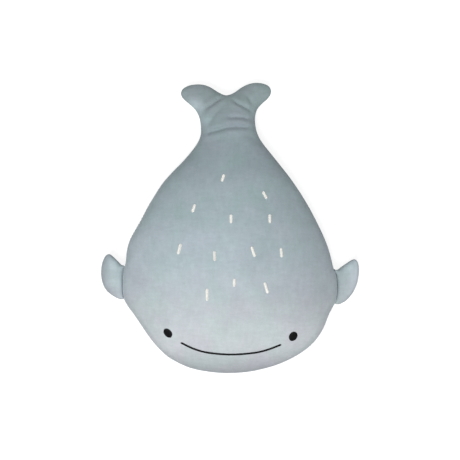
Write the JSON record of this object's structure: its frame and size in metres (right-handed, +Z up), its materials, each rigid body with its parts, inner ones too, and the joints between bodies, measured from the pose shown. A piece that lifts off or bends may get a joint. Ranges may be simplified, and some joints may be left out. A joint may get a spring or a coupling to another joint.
{
  "type": "plush whale cushion",
  "caption": "Flat stuffed whale cushion with side fins, a forked tail, embroidered eyes and smile, and stitched dashes on its back.",
  "frame": {"origin": "on the surface that the belly rests on, under the middle of the whole cushion", "axes": "+Z up out of the back, +Y from head to tail, +X to the right as seen from above with the tail away, which is what left and right mean in the names"},
  "size_m": [0.403, 0.4504, 0.109],
  "materials": {
    "plush": "short velour pile, soft sheen",
    "fibrefill": "white polyester fibre",
    "seam_thread": "matte sewing thread",
    "backing": "white non-woven",
    "black_satin_thread": "satin embroidery thread",
    "cream_satin_thread": "satin embroidery thread"
  },
  "bodies": {
    "torso": {"front_panel": "plush", "back_panel": "plush", "body_filling": "fibrefill", "body_seam_thread": "seam_thread", "face_backing": "backing", "closing_stitches": "seam_thread", "right_fin_tab": "plush", "left_fin_tab": "plush", "right_eye": "black_satin_thread", "left_eye": "black_satin_thread", "smile": "black_satin_thread", "dash_1": "cream_satin_thread", "dash_2": "cream_satin_thread", "dash_3": "cream_satin_thread", "dash_4": "cream_satin_thread", "dash_5": "cream_satin_thread", "dash_6": "cream_satin_thread", "dash_7": "cream_satin_thread", "dash_8": "cream_satin_thread", "dash_9": "cream_satin_thread", "dash_10": "cream_satin_thread", "dash_11": "cream_satin_thread", "dash_12": "cream_satin_thread"},
    "tail": {"tail_front_panel": "plush", "tail_back_panel": "plush", "tail_filling": "fibrefill", "tail_seam_thread": "seam_thread"},
    "left_fin": {"left_fin_front_panel": "plush", "left_fin_back_panel": "plush", "left_fin_filling": "fibrefill", "left_fin_seam_thread": "seam_thread"},
    "right_fin": {"right_fin_front_panel": "plush", "right_fin_back_panel": "plush", "right_fin_filling": "fibrefill", "right_fin_seam_thread": "seam_thread"}
  },
  "joints": [
    {"name": "tail_bend", "type": "hinge", "parent": "torso", "child": "tail", "pos_m": [0, 0.16178, 0.05], "axis": [1, 0, 0], "range_deg": [-36, 60], "stiffness_Nm_per_rad": 0.4},
    {"name": "left_fin_flap", "type": "hinge", "parent": "torso", "child": "left_fin", "pos_m": [-0.167, -0.08722, 0.05], "axis": [0, 1, 0], "range_deg": [-50, 70], "stiffness_Nm_per_rad": 0.05},
    {"name": "right_fin_flap", "type": "hinge", "parent": "torso", "child": "right_fin", "pos_m": [0.167, -0.08722, 0.05], "axis": [0, -1, 0], "range_deg": [-50, 70], "stiffness_Nm_per_rad": 0.05}
  ]
}
